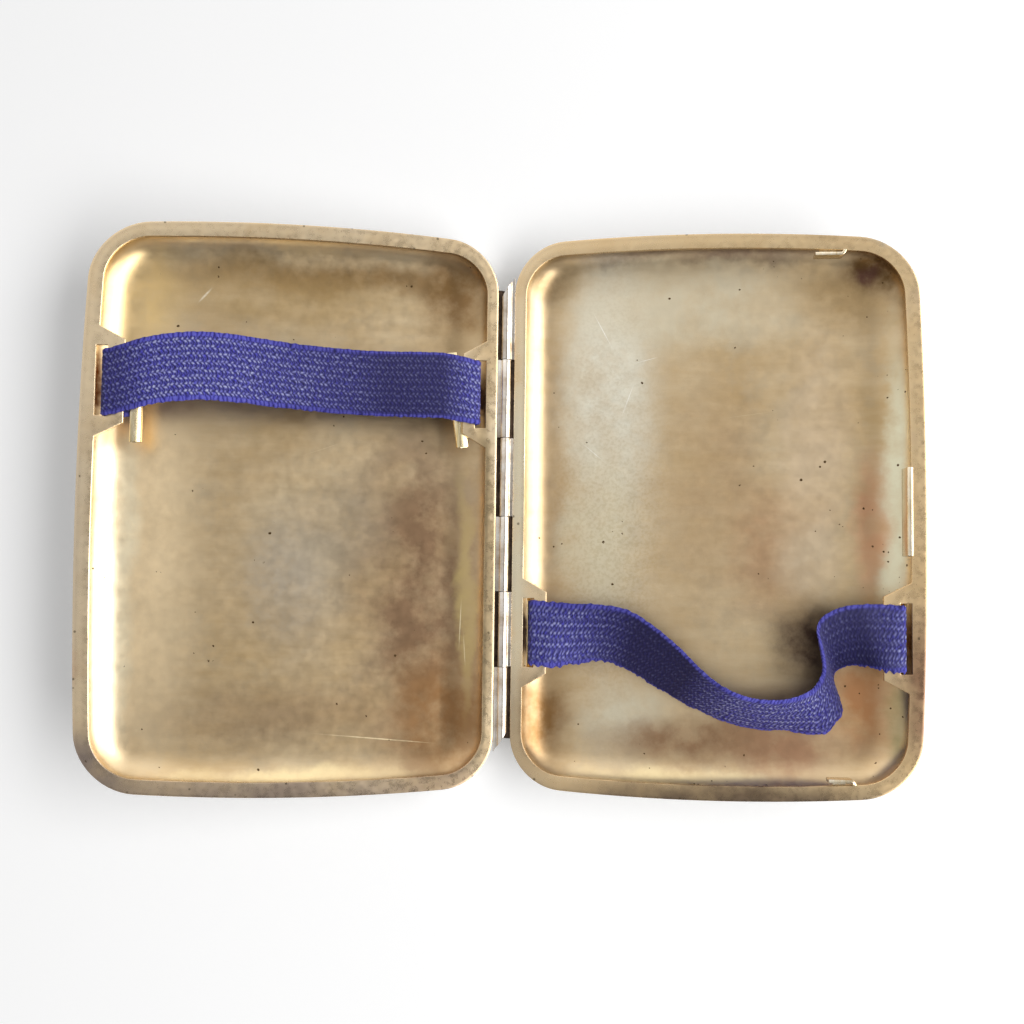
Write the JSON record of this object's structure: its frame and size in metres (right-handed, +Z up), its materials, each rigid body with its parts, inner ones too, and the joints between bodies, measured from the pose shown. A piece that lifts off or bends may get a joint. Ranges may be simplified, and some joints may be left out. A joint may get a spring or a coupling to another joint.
{
  "type": "hinged cigarette case",
  "caption": "Pocket cigarette case lying open: two rounded silver trays with gilt rims, a knuckle hinge, elastic tape across each tray and a snap catch.",
  "frame": {"origin": "middle of the hinge, straight below its axis, at the height of the surface that the open case rests on", "axes": "+X to the half with the catch, at right angles to the hinge; +Y along the hinge; +Z up out of the trays"},
  "size_m": [0.1584, 0.1082, 0.0194],
  "materials": {
    "cover_silver": "polished sterling silver outside, satin gilt wash inside",
    "rim_gilt": "satin gilt, tarnished in patches",
    "hinge_silver": "polished silver",
    "pin_wire": "drawn wire",
    "clip_brass": "bright brass",
    "elastic_tape": "knitted elastic, violet blue with paler flecks"
  },
  "bodies": {
    "left_half": {"left_shell": "cover_silver", "left_frame": "rim_gilt", "left_bearer": "hinge_silver", "left_knuckle_upper": "hinge_silver", "left_knuckle_middle": "hinge_silver", "left_knuckle_lower": "hinge_silver", "left_strap": "elastic_tape", "left_strap_clip_outer": "clip_brass", "left_strap_clip_hinge": "clip_brass", "hinge_pin": "pin_wire"},
    "right_half": {"right_shell": "cover_silver", "right_frame": "rim_gilt", "right_bearer": "hinge_silver", "right_knuckle_upper": "hinge_silver", "right_knuckle_middle": "hinge_silver", "right_knuckle_lower": "hinge_silver", "right_strap": "elastic_tape", "right_strap_clip_outer": "clip_brass", "right_strap_clip_hinge": "clip_brass", "catch_lip": "rim_gilt", "locating_lug_upper": "rim_gilt", "locating_lug_lower": "rim_gilt"}
  },
  "joints": [
    {"name": "case_hinge", "type": "hinge", "parent": "left_half", "child": "right_half", "pos_m": [0, 0, 0.00753], "axis": [0, -1, 0], "range_deg": [0, 165.4]}
  ]
}
